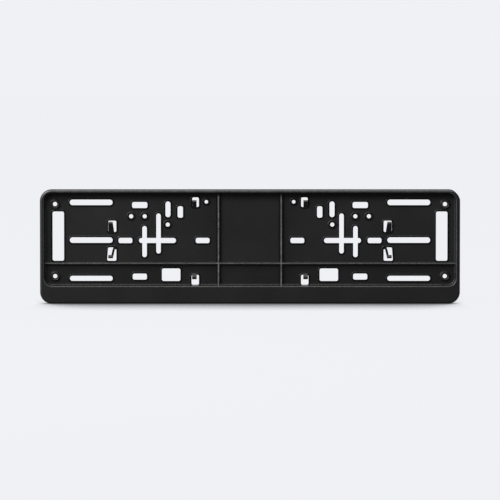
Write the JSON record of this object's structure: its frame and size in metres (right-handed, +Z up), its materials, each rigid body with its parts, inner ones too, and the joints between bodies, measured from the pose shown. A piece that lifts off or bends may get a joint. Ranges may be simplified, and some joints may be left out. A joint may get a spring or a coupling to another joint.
{
  "type": "number plate holder",
  "caption": "Black moulded holder with a shallow rimmed recess for a long number plate, a blank band below it, screw slots and windows in its floor and small spring tongues.",
  "frame": {"origin": "on the mounting face, in the middle of the four corner screw holes", "axes": "+X across the holder, +Z up, +Y out of the back towards the vehicle; the front faces -Y"},
  "size_m": [0.5354, 0.011, 0.1459],
  "materials": {
    "plastic": "black moulded plastic with a fine grain"
  },
  "bodies": {
    "root": {"plate_holder": "plastic"}
  },
  "joints": []
}
